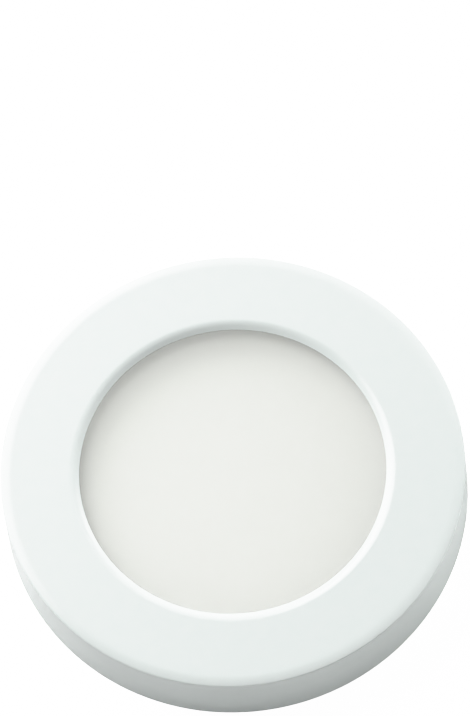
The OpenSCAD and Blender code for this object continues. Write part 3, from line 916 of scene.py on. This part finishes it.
link(table_white, ray.outputs["Is Camera Ray"], either.inputs["Fac"])
link(table_white, sheet.outputs["BSDF"], either.inputs[1])
link(table_white, lit.outputs["BSDF"], either.inputs[2])
link(table_white, either.outputs["Shader"], table_white.node_tree.nodes["Material Output"].inputs["Surface"])
table.data.materials.append(table_white)

# %% [markdown]
# A big soft lamp stands behind and to the left, close enough to make the near right of the ring a little
# darker. It throws the lip's shade on the diffuser. It stands high enough to light the face more than the
# wall below it, which would otherwise be lost against the white table.
# Two lamps on the right and one in front stand almost on the table. They light the upright wall and barely
# touch the face. The last one stands below the table and lights the back through the window.
# A bearing is counted from straight behind the light, to the right.

# %% Soft studio lamps
def soft_lamp(name, bearing, elevation, distance, size, power):
    bearing, elevation = math.radians(bearing), math.radians(elevation)
    level = math.cos(elevation)
    direction = Vector((level * math.sin(bearing), level * math.cos(bearing), math.sin(elevation)))
    data = bpy.data.lights.new(name, "AREA")
    data.shape = "DISK"
    data.size = size
    data.energy = power
    lamp = bpy.data.objects.new(name, data)
    lamp.location = direction * distance
    lamp.rotation_euler = direction.to_track_quat("Z", "Y").to_euler()
    bpy.context.scene.collection.objects.link(lamp)


soft_lamp("lamp_behind", bearing=-41, elevation=42, distance=0.9, size=0.9, power=12.6)
soft_lamp("lamp_right", bearing=56, elevation=5, distance=1.2, size=0.6, power=15.2)
soft_lamp("lamp_near_right", bearing=97, elevation=5, distance=1.2, size=0.6, power=3.5)
soft_lamp("lamp_front", bearing=180, elevation=8, distance=1.5, size=1.0, power=7.2)
soft_lamp("lamp_below", bearing=60, elevation=-45, distance=1.2, size=1.6, power=22)

# %% [markdown]
# The room is nearly dark, but a camera that looks past the edge of the table still sees white.

# %% The room
ROOM_LIGHT = 0.01
BACKDROP_GLOW = 3
world = bpy.data.worlds.new("studio")
world.use_nodes = True
room = world.node_tree.nodes["Background"]
room.inputs["Color"].default_value = (1, 1, 1, 1)
room.inputs["Strength"].default_value = ROOM_LIGHT
backdrop = world.node_tree.nodes.new("ShaderNodeBackground")
backdrop.inputs["Color"].default_value = (1, 1, 1, 1)
backdrop.inputs["Strength"].default_value = BACKDROP_GLOW
room_ray = world.node_tree.nodes.new("ShaderNodeLightPath")
seen_or_not = world.node_tree.nodes.new("ShaderNodeMixShader")
world_links = world.node_tree.links
world_links.new(room_ray.outputs["Is Camera Ray"], seen_or_not.inputs["Fac"])
world_links.new(room.outputs["Background"], seen_or_not.inputs[1])
world_links.new(backdrop.outputs["Background"], seen_or_not.inputs[2])
world_links.new(seen_or_not.outputs["Shader"], world.node_tree.nodes["World Output"].inputs["Surface"])
bpy.context.scene.world = world

# %% [markdown]
# A photograph doesn't clip its lightest tones as a plain render does: film and cameras bend them softly
# towards white. The bevel and the far border of the ring are tilted towards the big lamp and would burn out.
# With the curve below they keep their shape: it leaves the darker tones alone, and above its knee it nears
# white ever more slowly.

# %% Soft shoulder for the lightest tones
TONE_KNEE = 0.8
BRIGHTEST = 4.0
SHOULDER_POINTS = 24
view = bpy.context.scene.view_settings
view.view_transform = "Standard"
view.use_curve_mapping = True
tone_curve = view.curve_mapping
tone_curve.clip_max_x = BRIGHTEST
tone_line = tone_curve.curves[3]
tone_line.points[1].location = (TONE_KNEE, TONE_KNEE)
for i in range(1, SHOULDER_POINTS + 1):
    bright = TONE_KNEE + (BRIGHTEST - TONE_KNEE) * (i / SHOULDER_POINTS) ** 2
    tone = 1 - (1 - TONE_KNEE) * math.exp((TONE_KNEE - bright) / (1 - TONE_KNEE))
    tone_line.points.new(bright, tone)
tone_curve.update()
print(f"{len(tone_line.points)} points; {bright:.1f} becomes {tone:.3f}")
